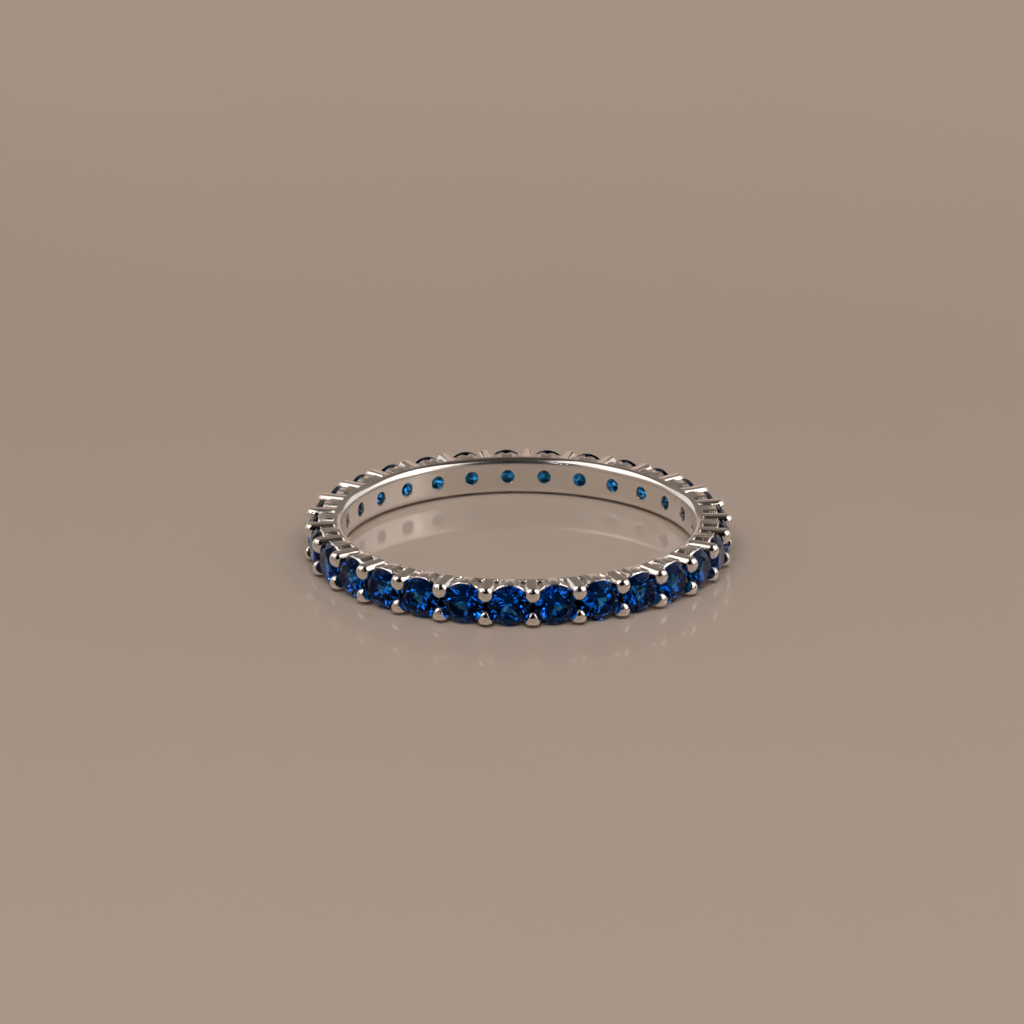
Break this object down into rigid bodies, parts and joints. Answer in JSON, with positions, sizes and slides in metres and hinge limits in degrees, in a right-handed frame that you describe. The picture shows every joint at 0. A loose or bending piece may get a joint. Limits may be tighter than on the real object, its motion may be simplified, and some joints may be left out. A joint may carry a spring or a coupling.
{
  "type": "eternity ring",
  "caption": "Full eternity ring: polished white-metal band with shared prongs and a pilot hole behind each blue round brilliant stone, lying on its side.",
  "frame": {"origin": "on the ring's axis, at the surface the ring lies on, which is the lowest point of the stones' girdles", "axes": "+Z along the ring's axis, through the finger hole; stone_01 faces -Y and the stones are numbered anticlockwise seen from +Z"},
  "size_m": [0.021, 0.021, 0.002],
  "materials": {
    "setting": "polished white metal",
    "stones": "polished, faceted"
  },
  "bodies": {
    "root": {"setting": "setting", "stone_01": "stones", "stone_02": "stones", "stone_03": "stones", "stone_04": "stones", "stone_05": "stones", "stone_06": "stones", "stone_07": "stones", "stone_08": "stones", "stone_09": "stones", "stone_10": "stones", "stone_11": "stones", "stone_12": "stones", "stone_13": "stones", "stone_14": "stones", "stone_15": "stones", "stone_16": "stones", "stone_17": "stones", "stone_18": "stones", "stone_19": "stones", "stone_20": "stones", "stone_21": "stones", "stone_22": "stones", "stone_23": "stones", "stone_24": "stones", "stone_25": "stones", "stone_26": "stones", "stone_27": "stones", "stone_28": "stones", "stone_29": "stones"}
  },
  "joints": []
}
